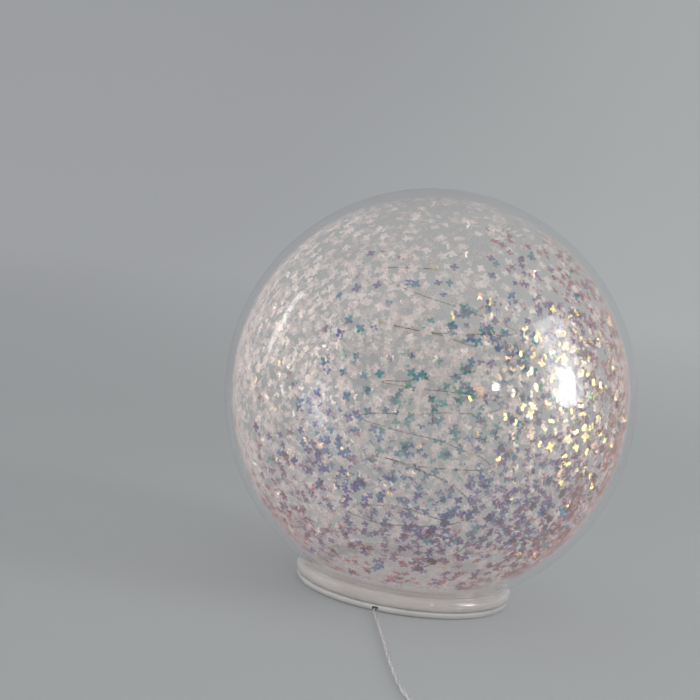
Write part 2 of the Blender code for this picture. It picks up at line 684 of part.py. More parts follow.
def make_switch():
    """A slide switch under the end room's roof, with its knob through the slot."""
    middle = (ROOM_START + ROOM_END - GAP - BOARD_THICKNESS) / 2
    slot_middle = (ROOM_START + ROOM_END) / 2
    top = ROOM_TOP - GAP
    half = SWITCH_WIDTH / 2
    block("switch_body", (middle - half, PACK_Y - SWITCH_LENGTH / 2, top - SWITCH_HEIGHT),
          (middle + half, PACK_Y + SWITCH_LENGTH / 2, top), KNOB_PLASTIC)
    rest = PACK_Y - KNOB_TRAVEL / 2
    block("switch_knob", (slot_middle - KNOB_WIDTH / 2, rest - KNOB_LENGTH / 2, top + GAP),
          (slot_middle + KNOB_WIDTH / 2, rest + KNOB_LENGTH / 2, PACK_HEIGHT + KNOB_STAND_OUT),
          KNOB_PLASTIC)


def make_relief():
    """The strain relief: a plug in the case's end with a tapered nose around the lead."""
    inner = -PACK_WALL - GAP
    profile = [
        (0.0, RELIEF_LENGTH), (LEAD_RADIUS + RELIEF_NOSE_WALL, RELIEF_LENGTH), (RELIEF_RADIUS, GAP),
        (RELIEF_RADIUS, inner), (0.0, inner),
    ]
    relief = turned("strain_relief", profile, SEAL_RUBBER, steps=16, closed=False)
    along_x(relief, PACK_END, PACK_Y, RELIEF_LEVEL, -1)
    smooth(relief)


# ---------------------------------------------------------------- build

make_globe()
make_lining()
make_plug()
make_seal()
make_gland()
make_wire()
make_beads()
make_lead()
make_coil()
make_case()
make_cover()
make_cells()
make_contacts()
make_board()
make_switch()
make_relief()
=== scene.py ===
"""Looks of the glitter globe light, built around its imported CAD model.

The glass, the iridescent flakes inside it, the LED wire and the twin lead are new meshes. The
base and the battery pack are the CAD nodes with procedural materials. Metres, +Z up, with the
globe standing on its base and the lead leaving towards -Y.
"""

import math
import random

import bpy
from mathutils import Matrix, Quaternion, Vector, noise


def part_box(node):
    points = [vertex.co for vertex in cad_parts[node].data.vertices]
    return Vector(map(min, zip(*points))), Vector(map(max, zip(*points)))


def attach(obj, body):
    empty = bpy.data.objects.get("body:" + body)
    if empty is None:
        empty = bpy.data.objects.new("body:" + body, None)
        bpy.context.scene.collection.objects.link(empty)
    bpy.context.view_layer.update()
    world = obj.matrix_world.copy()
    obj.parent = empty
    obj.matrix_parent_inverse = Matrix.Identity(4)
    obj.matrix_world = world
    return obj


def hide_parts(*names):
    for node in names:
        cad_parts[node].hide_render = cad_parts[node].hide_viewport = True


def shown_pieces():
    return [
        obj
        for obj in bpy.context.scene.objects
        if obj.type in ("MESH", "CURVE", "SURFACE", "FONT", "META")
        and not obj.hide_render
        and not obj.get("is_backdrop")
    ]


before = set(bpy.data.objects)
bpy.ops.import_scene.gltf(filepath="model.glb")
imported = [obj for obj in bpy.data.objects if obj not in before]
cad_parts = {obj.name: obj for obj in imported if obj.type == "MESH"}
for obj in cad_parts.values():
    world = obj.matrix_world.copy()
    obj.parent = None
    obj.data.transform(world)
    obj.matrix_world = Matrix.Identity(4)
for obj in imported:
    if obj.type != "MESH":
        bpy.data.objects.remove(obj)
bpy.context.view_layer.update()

# ---------------------------------------------------------------- sizes

glass_low, glass_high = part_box("globe_shell")
_, plug_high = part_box("base_plug")
tie_low, tie_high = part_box("coil_tie")

# Globe: the upper half is round, the lower half a little deeper
GLOBE_RADIUS = (glass_high.x - glass_low.x) / 2
GLOBE_TOP = glass_high.z
GLOBE_CENTRE = GLOBE_TOP - GLOBE_RADIUS
GLOBE_DEPTH = 0.0765
GLASS_WALL = 0.0025
FLANGE_INSET = 0.0005            # the base's edge inside the lip's edge
LIP_BOTTOM = glass_low.z
LIP_RADIUS = plug_high.x + FLANGE_INSET
LIP_BEAD = 0.0022
LIP_STAND_OUT = 0.0018
NECK_RADIUS = LIP_RADIUS - LIP_STAND_OUT
NECK_FILLET = 0.0008
FOOT_ROUND = 0.0008              # inner edge of the lip
BORE_RADIUS = NECK_RADIUS - GLASS_WALL
COLLAR_TOP = 0.0092              # where the bore opens into the globe
WELL_RADIUS = 0.0355             # inside this, and above the well's floor, the plug has
WELL_FLOOR = 0.0030              # its pad and glue

# LED wire, and the resin drops on it
WIRE_TURNS = 6
WIRE_FOOT = 0.0078               # just above the gland's top
WIRE_TAIL = 0.0012               # from there down into the gland
WIRE_CLIMB = 0.0060              # steep start above it
WIRE_RISE = 0.1020
WIRE_NARROW = 0.0180             # radius of its turns at the gland
WIRE_WIDE = 0.0234               # and above it
WIRE_SWING = 0.0040              # how far its turns wander in and out
WIRE_RIPPLE = 0.0018
WIRE_WAVE = 0.0035               # how far they rise and fall
WIRE_KINK = 0.0009
WIRE_STEPS = 900
WIRE_OFFSET = 0.00011            # each of its two strands from its middle
WIRE_STRAND = 0.00008            # strand radius
WIRE_PITCH = 0.0052              # length of one twist
BEAD_COUNT = 10
BEAD_OFFSET = 0.0009             # from the wire, inwards
BEAD_HALF_WIDTH = 0.0013
BEAD_HALF_LENGTH = 0.0019

# Lead
LEAD_DIAMETER = 0.0014
LEAD_LEVEL = 0.0008              # its middle above the surface
LEAD_OFFSET = 0.00034            # each of its two strands from its middle
LEAD_STRAND = 0.00038            # strand radius
LEAD_PITCH = 0.0150              # length of one twist

# ---------------------------------------------------------------- camera and stage

LENS = 61.1
SENSOR = 36.0
CAMERA_DISTANCE = 0.44
CAMERA_AZIMUTH = math.radians(11.5)
CAMERA_ELEVATION = math.radians(5.0)
CAMERA_ROLL = math.radians(8.1)
CENTRE_RIGHT = 0.066158          # tangents of the globe's angle from the line of view
CENTRE_DOWN = 0.036446


def make_camera():
    centre = Vector((0.0, 0.0, GLOBE_CENTRE))
    back = Vector((math.sin(CAMERA_AZIMUTH) * math.cos(CAMERA_ELEVATION),
                   -math.cos(CAMERA_AZIMUTH) * math.cos(CAMERA_ELEVATION),
                   math.sin(CAMERA_ELEVATION)))
    level = Vector((math.cos(CAMERA_AZIMUTH), math.sin(CAMERA_AZIMUTH), 0.0))
    upright = back.cross(level)
    right = level * math.cos(CAMERA_ROLL) + upright * math.sin(CAMERA_ROLL)
    up = upright * math.cos(CAMERA_ROLL) - level * math.sin(CAMERA_ROLL)
    place = centre + back * CAMERA_DISTANCE
    target = centre + (up * CENTRE_DOWN - right * CENTRE_RIGHT) * CAMERA_DISTANCE
    behind = (place - target).normalized()
    across = up.cross(behind).normalized()
    above = behind.cross(across)
    turn = Matrix((across, above, behind)).transposed().to_4x4()
    data = bpy.data.cameras.new("camera")
    data.lens = LENS
    data.sensor_width = SENSOR
    data.clip_start = 0.01
    data.clip_end = 20.0
    camera = bpy.data.objects.new("camera", data)
    camera.matrix_world = Matrix.Translation(place) @ turn
    bpy.context.scene.collection.objects.link(camera)
    bpy.context.scene.camera = camera
    return right, up, back


VIEW_RIGHT, VIEW_UP, VIEW_BACK = make_camera()


# ---------------------------------------------------------------- meshes

def add_object(name, data, material):
    piece = bpy.data.objects.new(name, data)
    bpy.context.scene.collection.objects.link(piece)
    data.materials.append(material)
    return piece


def mesh_object(name, points, faces, material, smooth=True):
    data = bpy.data.meshes.new(name)
    data.from_pydata([tuple(p) for p in points], [], faces)
    data.update()
    if smooth:
        data.shade_smooth()
    else:
        data.shade_flat()
    return add_object(name, data, material)


def turned(name, profile, steps, material):
    """A closed solid of revolution whose profile starts and ends on the axis."""
    points = []
    faces = []
    inner = profile[1:-1]
    for step in range(steps):
        angle = 2 * math.pi * step / steps
        points += [(r * math.cos(angle), r * math.sin(angle), z) for r, z in inner]
    rows = len(inner)
    first = len(points)
    points += [(0.0, 0.0, profile[0][1]), (0.0, 0.0, profile[-1][1])]
    for step in range(steps):
        this = step * rows
        other = (step + 1) % steps * rows
        for row in range(rows - 1):
            faces.append((this + row, this + row + 1, other + row + 1, other + row))
        faces.append((first, this, other))
        faces.append((first + 1, other + rows - 1, this + rows - 1))
    return mesh_object(name, points, faces, material)


def arc(centre, radii, start, end, count):
    turns = [start + (end - start) * i / (count - 1) for i in range(count)]
    return [(centre[0] + radii[0] * math.cos(a), centre[1] + radii[1] * math.sin(a))
            for a in turns]


def smooth_route(route, step):
    """Points on a Catmull-Rom curve through the route, about a step apart."""
    route = [Vector(p) for p in route]
    ends = [route[0] * 2 - route[1]] + route + [route[-1] * 2 - route[-2]]
    points = [route[0]]
    for a, b, c, d in zip(ends, ends[1:], ends[2:], ends[3:]):
        count = max(1, round((c - b).length / step))
        for i in range(1, count + 1):
            t = i / count
            points.append(0.5 * (2 * b + (c - a) * t + (2 * a - 5 * b + 4 * c - d) * t * t
                                 + (3 * b - a - 3 * c + d) * t ** 3))
    return points


def carried_frames(points):
    """A pair of directions across the line at each point, carried along without twist."""
    tangents = [(b - a).normalized() for a, b in zip(points, points[1:])]
    tangents.append(tangents[-1])
    side = tangents[0].orthogonal().normalized()
    pairs = []
    for before, tangent in zip([tangents[0]] + tangents, tangents):
        side = before.rotation_difference(tangent) @ side
        side = (side - tangent * side.dot(tangent)).normalized()
        pairs.append((side, tangent.cross(side)))
    return pairs


def add_strand(points, faces, line, radius, sides):
    """Adds a capped round strand along the line to the points and faces."""
    first = len(points)
    for place, (side, other) in zip(line, carried_frames(line)):
        for k in range(sides):
            angle = 2 * math.pi * k / sides
            points.append(place + (side * math.cos(angle) + other * math.sin(angle)) * radius)
    for ring in range(len(line) - 1):
        low = first + ring * sides
        for k in range(sides):
            after = (k + 1) % sides
            faces.append((low + k, low + after, low + sides + after, low + sides + k))
    faces.append(tuple(first + k for k in reversed(range(sides))))
    faces.append(tuple(len(points) - sides + k for k in range(sides)))


def twisted_pair(name, line, offset, radius, pitch, sides, material, wobble=0.0):
    """Two strands twisted about the line."""
    points = []
    faces = []
    travelled = [0.0]
    for a, b in zip(line, line[1:]):
        travelled.append(travelled[-1] + (b - a).length)
    pairs = carried_frames(line)
    for start in (0.0, math.pi):
        strand = []
        for place, (side, other), length in zip(line, pairs, travelled):
            angle = start + 2 * math.pi * length / pitch + wobble * math.sin(90 * length)
            strand.append(place + (side * math.cos(angle) + other * math.sin(angle)) * offset)
        add_strand(points, faces, strand, radius, sides)
    return mesh_object(name, points, faces, material)


# ---------------------------------------------------------------- material nodes

def new_material(name):
    made = bpy.data.materials.new(name)
    made.use_nodes = True
    made.node_tree.nodes.clear()
    return made


def node(tree, kind, inputs=(), **settings):
    """Adds a node. Its inputs are (socket name or number, value or socket to link) pairs."""
    made = tree.nodes.new("ShaderNode" + kind)
    for key, value in settings.items():
        setattr(made, key, value)
    for key, value in inputs:
        if isinstance(value, bpy.types.NodeSocket):
            tree.links.new(value, made.inputs[key])
        else:
            made.inputs[key].default_value = value
    return made


def ramp(tree, factor, stops):
    made = node(tree, "ValToRGB", [("Fac", factor)])
    elements = made.color_ramp.elements
    while len(elements) < len(stops):
        elements.new(0.5)
    for element, (place, colour) in zip(elements, stops):
        element.position = place
        element.color = (*colour, 1.0)
    return made.outputs["Color"]


def math_node(tree, operation, *values, clamp=False):
    made = node(tree, "Math", list(enumerate(values)), operation=operation, use_clamp=clamp)
    return made.outputs[0]


def grey(value):
    return (value, value, value, 1.0)


def output(tree, shader):
    node(tree, "OutputMaterial", [("Surface", shader)])


def glossy_share(tree, straight, power=5.0):
    """Share of light a clear surface mirrors, rising from straight on to edge on."""
    facing = node(tree, "LayerWeight", [("Blend", 0.5)]).outputs["Facing"]
    steep = math_node(tree, "POWER", facing, power)
    return math_node(tree, "MULTIPLY_ADD", steep, 1.0 - straight, straight, clamp=True)


def glass_material():
    """Clear blown glass, its inside hazy with the flakes' glue and its neck milky."""
    made = new_material("blown_glass")
    tree = made.node_tree
    place = node(tree, "TexCoord").outputs["Object"]
    level = node(tree, "SeparateXYZ", [("Vector", place)]).outputs["Z"]
    wave = node(tree, "TexNoise", [("Vector", place), ("Scale", 22.0), ("Detail", 2.0)])
    bump = node(tree, "Bump", [("Height", wave.outputs["Fac"]), ("Strength", 0.10),
                               ("Distance", 0.002)]).outputs["Normal"]
    inner = node(tree, "Attribute", attribute_name="inner").outputs["Fac"]
    share = math_node(tree, "MULTIPLY", glossy_share(tree, 0.045),
                      math_node(tree, "MULTIPLY_ADD", inner, -0.35, 1.0))
    rough = math_node(tree, "MULTIPLY_ADD", inner, 0.26, 0.075)
    mirror = node(tree, "BsdfAnisotropic", [("Color", (0.98, 0.98, 1.0, 1.0)),
                                            ("Roughness", rough), ("Normal", bump)])
    clear = node(tree, "BsdfTransparent", [("Color", (0.985, 0.983, 0.978, 1.0))])
    patches = node(tree, "TexNoise", [("Vector", place), ("Scale", 60.0), ("Detail", 5.0),
                                      ("Roughness", 0.65)]).outputs["Fac"]
    patch = node(tree, "MapRange", [("Value", patches), ("From Min", 0.35), ("From Max", 0.7),
                                    ("To Min", 0.04), ("To Max", 0.10)]).outputs["Result"]
    glue = math_node(tree, "MULTIPLY", patch, inner)
    collar = node(tree, "MapRange", [("Value", level), ("From Min", COLLAR_TOP - 0.0035),
                                     ("From Max", COLLAR_TOP + 0.0015), ("To Min", 0.50),
                                     ("To Max", 0.0)],
                  interpolation_type="SMOOTHSTEP").outputs["Result"]
    streaks = node(tree, "TexNoise", [
        ("Vector", node(tree, "Mapping", [("Vector", place), ("Scale", (1.0, 1.0, 9.0))])
         .outputs[0]), ("Scale", 70.0), ("Detail", 3.0)]).outputs["Fac"]
    streaked = math_node(tree, "MULTIPLY", collar,
                         math_node(tree, "MULTIPLY_ADD", streaks, 0.8, 0.6))
    haze = math_node(tree, "ADD", glue, streaked, clamp=True)
    milk = ramp(tree, patches, [(0.3, (0.84, 0.80, 0.76)), (0.7, (0.93, 0.90, 0.87))])
    film = node(tree, "BsdfDiffuse", [("Color", milk)]).outputs[0]
    seen = node(tree, "BsdfTranslucent", [("Color", milk)]).outputs[0]
    soft = node(tree, "MixShader", [("Fac", 0.5), (1, film), (2, seen)]).outputs[0]
    body = node(tree, "MixShader", [("Fac", haze), (1, clear.outputs[0]), (2, soft)])
    output(tree, node(tree, "MixShader", [("Fac", share), (1, body.outputs[0]),
                                          (2, mirror.outputs[0])]).outputs[0])
    return made


# Colours that the film lets through and throws back, from face on to edge on
FILM_THROUGH = [
    (0.00, (0.00, 0.58, 0.54)), (0.08, (0.00, 0.42, 0.66)), (0.18, (0.01, 0.17, 0.66)),
    (0.30, (0.06, 0.05, 0.54)), (0.44, (0.30, 0.05, 0.48)), (0.60, (0.56, 0.07, 0.28)),
    (0.78, (0.76, 0.22, 0.18)), (1.00, (0.92, 0.66, 0.52)),
]
FILM_BACK = [
    (0.00, (1.00, 0.42, 0.32)), (0.12, (1.00, 0.58, 0.24)), (0.28, (1.00, 0.82, 0.22)),
    (0.44, (0.84, 0.96, 0.30)), (0.62, (0.60, 0.95, 0.50)), (0.82, (0.66, 0.86, 0.86)),
    (1.00, (0.95, 0.93, 0.95)),
]


def film_material():
    """Iridescent film. A flake's own thickness shifts its colours and sets their strength."""
    made = new_material("iridescent_film")
    tree = made.node_tree
    own = node(tree, "Attribute", attribute_name="film").outputs["Color"]
    parts = node(tree, "SeparateColor", [("Color", own)])
    shift, strength, haze = parts.outputs[0], parts.outputs[1], parts.outputs[2]
    facing = node(tree, "LayerWeight", [("Blend", 0.5)]).outputs["Facing"]
    place = math_node(tree, "ADD", facing, math_node(tree, "SUBTRACT", shift, 0.5), clamp=True)
    through = ramp(tree, place, FILM_THROUGH)
    back = ramp(tree, place, FILM_BACK)
    passed = node(tree, "MixRGB", [("Fac", strength), (1, (0.96, 0.93, 0.93, 1.0)),
                                   (2, through)]).outputs[0]
    thrown = node(tree, "MixRGB", [("Fac", strength), (1, (0.26, 0.24, 0.21, 1.0)),
                                   (2, back)]).outputs[0]
    thrown = node(tree, "MixRGB", [("Fac", 1.0), (1, thrown), (2, grey(0.40))],
                  blend_type="MULTIPLY").outputs[0]
    clear = node(tree, "BsdfTransparent", [("Color", passed)]).outputs[0]
    mirror = node(tree, "BsdfAnisotropic", [("Color", thrown), ("Roughness", 0.21)]).outputs[0]
    film = node(tree, "AddShader", [(0, clear), (1, mirror)]).outputs[0]
    front = node(tree, "BsdfDiffuse", [("Color", (0.92, 0.84, 0.81, 1.0))]).outputs[0]
    rear = node(tree, "BsdfTranslucent", [("Color", (0.92, 0.84, 0.81, 1.0))]).outputs[0]
    milk = node(tree, "MixShader", [("Fac", 0.5), (1, front), (2, rear)]).outputs[0]
    share = math_node(tree, "MULTIPLY_ADD", haze, 0.60, 0.02)
    output(tree, node(tree, "MixShader", [("Fac", share), (1, film), (2, milk)]).outputs[0])
    return made


def moulded(name, dark, pale, roughness, grain=900.0, bump=0.15, metallic=0.0, coat=0.0):
    """Moulded plastic, rubber or plated metal with mottling, fine grain and rubbed patches."""
    made = new_material(name)
    tree = made.node_tree
    place = node(tree, "TexCoord").outputs["Object"]
    cloud = node(tree, "TexNoise", [("Vector", place), ("Scale", 90.0), ("Detail", 6.0),
                                    ("Roughness", 0.6)]).outputs["Fac"]
    fine = node(tree, "TexNoise", [("Vector", place), ("Scale", grain), ("Detail", 3.0)])
    colour = ramp(tree, cloud, [(0.32, dark), (0.68, pale)])
    rub = node(tree, "MapRange", [("Value", cloud), ("From Min", 0.3), ("From Max", 0.7),
                                  ("To Min", roughness * 0.8), ("To Max", roughness * 1.25)])
    normal = node(tree, "Bump", [("Height", fine.outputs["Fac"]), ("Strength", bump),
                                 ("Distance", 0.0004)]).outputs["Normal"]
    shader = node(tree, "BsdfPrincipled", [
        ("Base Color", colour), ("Roughness", rub.outputs["Result"]), ("Normal", normal),
        ("Metallic", metallic), ("Coat Weight", coat), ("IOR", 1.46)])
    output(tree, shader.outputs[0])
    return made


def plug_material():
    """Milky plastic, with a grey felt pad and glue inside its well."""
    made = moulded("milky_plastic", (0.38, 0.376, 0.368), (0.45, 0.446, 0.435), 0.38, 500.0, 0.08)
    tree = made.node_tree
    shader = next(n for n in tree.nodes if n.type == "BSDF_PRINCIPLED")
    colour = shader.inputs["Base Color"].links[0].from_socket
    place = node(tree, "TexCoord").outputs["Object"]
    parts = node(tree, "SeparateXYZ", [("Vector", place)])
    flat = node(tree, "CombineXYZ", [("X", parts.outputs["X"]), ("Y", parts.outputs["Y"])])
    reach = node(tree, "VectorMath", [(0, flat.outputs[0])], operation="LENGTH")
    inside = math_node(tree, "MULTIPLY",
                       math_node(tree, "LESS_THAN", reach.outputs["Value"], WELL_RADIUS),
                       math_node(tree, "GREATER_THAN", parts.outputs["Z"], WELL_FLOOR))
    felt = node(tree, "TexNoise", [("Vector", place), ("Scale", 900.0), ("Detail", 4.0)])
    pad = ramp(tree, felt.outputs["Fac"], [(0.3, (0.38, 0.37, 0.36)), (0.7, (0.47, 0.46, 0.445))])
    tree.links.new(node(tree, "MixRGB", [("Fac", inside), (1, colour), (2, pad)]).outputs[0],
                   shader.inputs["Base Color"])
    return made


def clear_plastic(name, tint, straight, haze):
    """Clear soft plastic: mostly see-through, with a bright edge and a faint milky body."""
    made = new_material(name)
    tree = made.node_tree
    place = node(tree, "TexCoord").outputs["Object"]
    cloud = node(tree, "TexNoise", [("Vector", place), ("Scale", 400.0), ("Detail", 4.0)])
    bump = node(tree, "Bump", [("Height", cloud.outputs["Fac"]), ("Strength", 0.1),
                               ("Distance", 0.0003)]).outputs["Normal"]
    clear = node(tree, "BsdfTransparent", [("Color", (*tint, 1.0))]).outputs[0]
    tone = ramp(tree, cloud.outputs["Fac"], [
        (0.3, tuple(0.62 * t for t in tint)), (0.7, tuple(0.88 * t for t in tint))])
    milk = node(tree, "BsdfDiffuse", [("Color", tone)]).outputs[0]
    body = node(tree, "MixShader", [("Fac", haze), (1, clear), (2, milk)]).outputs[0]
    mirror = node(tree, "BsdfAnisotropic", [("Color", grey(0.95)), ("Roughness", 0.14),
                                            ("Normal", bump)]).outputs[0]
    share = glossy_share(tree, straight, 3.0)
    output(tree, node(tree, "MixShader", [("Fac", share), (1, body), (2, mirror)]).outputs[0])
    return made


# ---------------------------------------------------------------- lead

COIL_RADIUS = 0.0083              # middle of the turns
COIL_CENTRE = ((tie_low.x + tie_high.x) / 2 - COIL_RADIUS, (tie_low.y + tie_high.y) / 2)
COIL_TURNS = 7
COIL_STEPS = 24
COIL_LEVEL = (tie_low.z + tie_high.z) / 2
LEAD_START = -0.0207              # y of its end, beside the gland
LEAD_STEP = 0.0011                # spacing of its points
COIL_DROP = 0.0008                # the turns rest on the surface away from the tie
# How far each bend is to the right, beyond the lip's edge, and above the surface
LEAD_BENDS = [
    (0.0000, 0.0000, 0.0008), (0.0024, 0.0070, 0.0008), (0.0050, 0.0140, 0.0008),
    (0.0087, 0.0240, 0.0008), (0.0121, 0.0335, 0.0008), (0.0158, 0.0440, 0.0008),
    (0.0200, 0.0550, 0.0008), (0.0244, 0.0660, 0.0008), (0.0288, 0.0750, 0.0008),
    (0.0331, 0.0816, 0.0008), (0.0368, 0.0869, 0.0008), (0.0393, 0.0914, 0.0008),
    (0.0403, 0.0941, 0.0010),
]
TAIL_BENDS = [
    (0.0403, 0.1063, 0.0018), (0.0403, 0.1122, 0.0008), (0.0412, 0.1192, 0.0008),
    (0.0438, 0.1266, 0.0008), (0.0476, 0.1329, 0.0012), (0.0523, 0.1371, 0.0028),
    (0.0560, 0.1388, 0.0040), (0.0597, 0.1392, 0.0042),
]


def laid(bends):
    return [(across, -LIP_RADIUS - beyond, up) for across, beyond, up in bends]


def coil_route():
    """Turns packed side by side: out along the bottom, through the middle, back on top."""
    seats = [math.radians(a) for a in (-30, -90, -150)] + [None]
    seats += [math.radians(a) for a in (150, 90, 30)]
    packed = [(0.0, 0.0) if a is None else (LEAD_DIAMETER * math.cos(a),
                                            LEAD_DIAMETER * math.sin(a)) for a in seats]
    points = []
    for step in range(COIL_TURNS * COIL_STEPS + 1):
        turn = step / COIL_STEPS
        seat = min(int(turn), COIL_TURNS - 1)
        after = min(seat + 1, COIL_TURNS - 1)
        blend = max(0.0, (turn - seat - 0.75) / 0.25) if turn < COIL_TURNS else 0.0
        blend = blend * blend * (3 - 2 * blend)
        outward, above = (packed[seat][i] * (1 - blend) + packed[after][i] * blend
                          for i in range(2))
        angle = math.pi + 2 * math.pi * turn
        radius = COIL_RADIUS + outward
        drop = COIL_DROP * (1 - math.cos(angle)) / 2
        points.append((COIL_CENTRE[0] + radius * math.cos(angle),
                       COIL_CENTRE[1] + radius * math.sin(angle),
                       COIL_LEVEL - drop + above))
    return points


def make_lead(material):
    under = [(0.0, LEAD_START, LEAD_LEVEL), (0.0, (LEAD_START - LIP_RADIUS) / 2, LEAD_LEVEL)]
    line = smooth_route(under + laid(LEAD_BENDS) + coil_route() + laid(TAIL_BENDS), LEAD_STEP)
    lead = twisted_pair("twin_lead", line, LEAD_OFFSET, LEAD_STRAND, LEAD_PITCH, 8, material)
    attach(lead, "base")
    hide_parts("lead_cord", "lead_coil", "lead_tail")


make_lead(clear_plastic("clear_lead", (0.88, 0.87, 0.86), 0.14, 0.42))


# ---------------------------------------------------------------- glass globe

def globe_curve(inset, start, end_radius, count):
    """The globe's section at an inset from its outside, from the top down to a radius."""
    radius = GLOBE_RADIUS - inset
    depth = GLOBE_DEPTH - inset
    end = math.pi - math.asin(end_radius / radius)
    points = []
    for i in range(count):
        angle = start + (end - start) * i / (count - 1)
        drop = radius if angle < math.pi / 2 else depth
        points.append((radius * math.sin(angle), GLOBE_CENTRE + drop * math.cos(angle)))
    return points


def make_glass():
    outside = globe_curve(0.0, 0.0, NECK_RADIUS + NECK_FILLET, 60)
    join = outside[-1][1]
    bead = (LIP_RADIUS - LIP_BEAD, LIP_BOTTOM + LIP_BEAD)
    meet = math.acos((NECK_RADIUS - bead[0]) / LIP_BEAD)
    lip = arc(bead, (LIP_BEAD, LIP_BEAD), meet, -math.pi / 2, 14)
    neck_low = lip[0][1]
    neck = [(NECK_RADIUS + NECK_FILLET * (1 - share) ** 2, join + (neck_low - join) * share)
            for share in (0.25, 0.5, 0.75)]
    foot = arc((BORE_RADIUS + FOOT_ROUND, LIP_BOTTOM + FOOT_ROUND), (FOOT_ROUND, FOOT_ROUND),
               -math.pi / 2, -math.pi, 4)
    inside = globe_curve(GLASS_WALL, 0.0, BORE_RADIUS, 60)[::-1]
    rise = inside[0][1] - foot[-1][1]
    bore = [(BORE_RADIUS, foot[-1][1] + rise * share) for share in (0.33, 0.67)]
    profile = outside + neck + lip + foot + bore + inside
    glass = turned("glass_globe", profile, 144, glass_material())
    mark = glass.data.attributes.new("inner", "FLOAT", "POINT")
    edge = GLOBE_RADIUS - GLASS_WALL / 2
    for vertex, value in zip(glass.data.vertices, mark.data):
        x, y, z = vertex.co
        drop = 1.0 if z > GLOBE_CENTRE else edge / (GLOBE_DEPTH - GLASS_WALL / 2)
        reach = Vector((x, y, (z - GLOBE_CENTRE) * drop)).length
        value.value = 1.0 if z > COLLAR_TOP and reach < edge else 0.0
    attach(glass, "globe")
    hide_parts("globe_shell")


make_glass()

# ---------------------------------------------------------------- flakes

FLAKE_COUNT = 9000
FLAKE_SIZE = 0.0026
FLAKE_BACKING = 0.0004           # glue between the glass and a flake
FLAKE_LIFT = 0.0004              # most that one stands off the others
# Running share of the flakes, and the spread of their tilt in degrees
TILTS = ((0.66, 6), (0.87, 20), (1.0, 36))
MOST_TILT = 1.1                  # radians


def flake_outline():
    """Half of a butterfly: an upper and a lower wing on the right of the fold."""
    return [(0.0, 0.30), (0.16, 0.44), (0.40, 0.50), (0.52, 0.34), (0.44, 0.12), (0.26, 0.0),
            (0.42, -0.14), (0.44, -0.36), (0.28, -0.46), (0.12, -0.40), (0.0, -0.24)]


def within(value):
    return max(0.0, min(1.0, value))


def flake_density(normal):
    """Chance that a flake drawn here stays: patchy, thin at the crown and thick low down."""
    crown = within((normal.z - 0.35) / 0.60)
    low = within((-0.25 - normal.z) / 0.4)
    return 0.85 - 0.62 * crown + 0.35 * noise.noise(normal * 5.0) + 0.35 * low


def film_of(normal, draw):
    """Shift, strength and haze of a flake's colour, which is deepest at +X and low down."""
    shift = 0.5 + draw.gauss(0, 0.05) + 0.06 * noise.noise(normal * 2.2)
    rich = 0.27 + 0.40 * max(0.0, normal.x - 0.10) + 0.25 * max(0.0, -normal.z - 0.2)
    rich -= 0.42 * max(0.0, normal.z - 0.10 - 0.8 * normal.x) + 0.14 * max(0.0, -normal.x)
    if draw.random() < rich + 0.25 * noise.noise(normal * 3.1 + Vector((9, 0, 0))):
        return shift, draw.uniform(0.85, 1.0), draw.uniform(0.0, 0.05), 1.0
    pale = 0.10 + 0.12 * within(normal.x + 0.2)
    return shift, draw.uniform(0.0, pale), draw.uniform(0.15, 0.80), 1.0


def make_flakes():
    draw = random.Random(7)
    wing = flake_outline()
    points = []
    faces = []
    film = []
    radius = GLOBE_RADIUS - GLASS_WALL - FLAKE_BACKING
    depth = GLOBE_DEPTH - GLASS_WALL - FLAKE_BACKING
    made = 0
    while made < FLAKE_COUNT:
        around = draw.uniform(0, 2 * math.pi)
        up = draw.uniform(-1, 1)
        out = math.sqrt(1 - up * up)
        normal = Vector((out * math.cos(around), out * math.sin(around), up))
        drop = radius if up > 0 else depth
        place = Vector((normal.x * radius, normal.y * radius, GLOBE_CENTRE + up * drop))
        if place.z < COLLAR_TOP or draw.random() > flake_density(normal):
            continue
        made += 1
        loose = draw.random()
        spread = next(degrees for share, degrees in TILTS if loose < share)
        tilt = min(MOST_TILT, abs(draw.gauss(0, math.radians(spread))))
        size = FLAKE_SIZE * draw.uniform(0.82, 1.15)
        spin = Quaternion(normal, draw.uniform(0, 2 * math.pi))
        lean = Quaternion(spin @ normal.orthogonal().normalized(), tilt)
        turn = lean @ spin @ normal.to_track_quat("Z", "Y")
        lift = size * 0.5 * math.sin(tilt) + draw.uniform(0.0, FLAKE_LIFT)
        fold = draw.uniform(-0.30, 0.30)
        centre = place - normal * lift
        first = len(points)
        for side in (1, -1):
            for x, y in wing:
                points.append(centre + turn @ (Vector((side * x, y, fold * x)) * size))
        count = len(wing)
        faces.append(tuple(range(first, first + count)))
        faces.append(tuple(reversed(range(first + count, first + 2 * count))))
        film += [film_of(normal, draw)] * (2 * count)
    flakes = mesh_object("film_flakes", points, faces, film_material(), smooth=False)
    attribute = flakes.data.attributes.new("film", "FLOAT_COLOR", "POINT")
    attribute.data.foreach_set("color", [v for row in film for v in row])
    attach(flakes, "globe")
    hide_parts("flake_lining")
    return flakes


flakes = make_flakes()


# ---------------------------------------------------------------- LED wire

def wire_point(share):
    """The wire's centreline, which climbs from the gland in wandering, uneven turns."""
    settle = min(1.0, share / 0.12)
    settle = settle * settle * (3 - 2 * settle)
    angle = -math.pi / 2 + 2 * math.pi * WIRE_TURNS * share
    wander = WIRE_SWING * math.sin(14.5 * share + 1.0) + WIRE_RIPPLE * math.sin(37.0 * share)
    radius = WIRE_NARROW + (WIRE_WIDE + wander - WIRE_NARROW) * settle
    lift = WIRE_WAVE * math.sin(27.0 * share) * settle
    climb = WIRE_CLIMB * math.sin(math.pi * min(1.0, share / 0.04) / 2)
    height = WIRE_FOOT + WIRE_RISE * share + lift + climb
    return Vector((radius * math.cos(angle), radius * math.sin(angle), height))


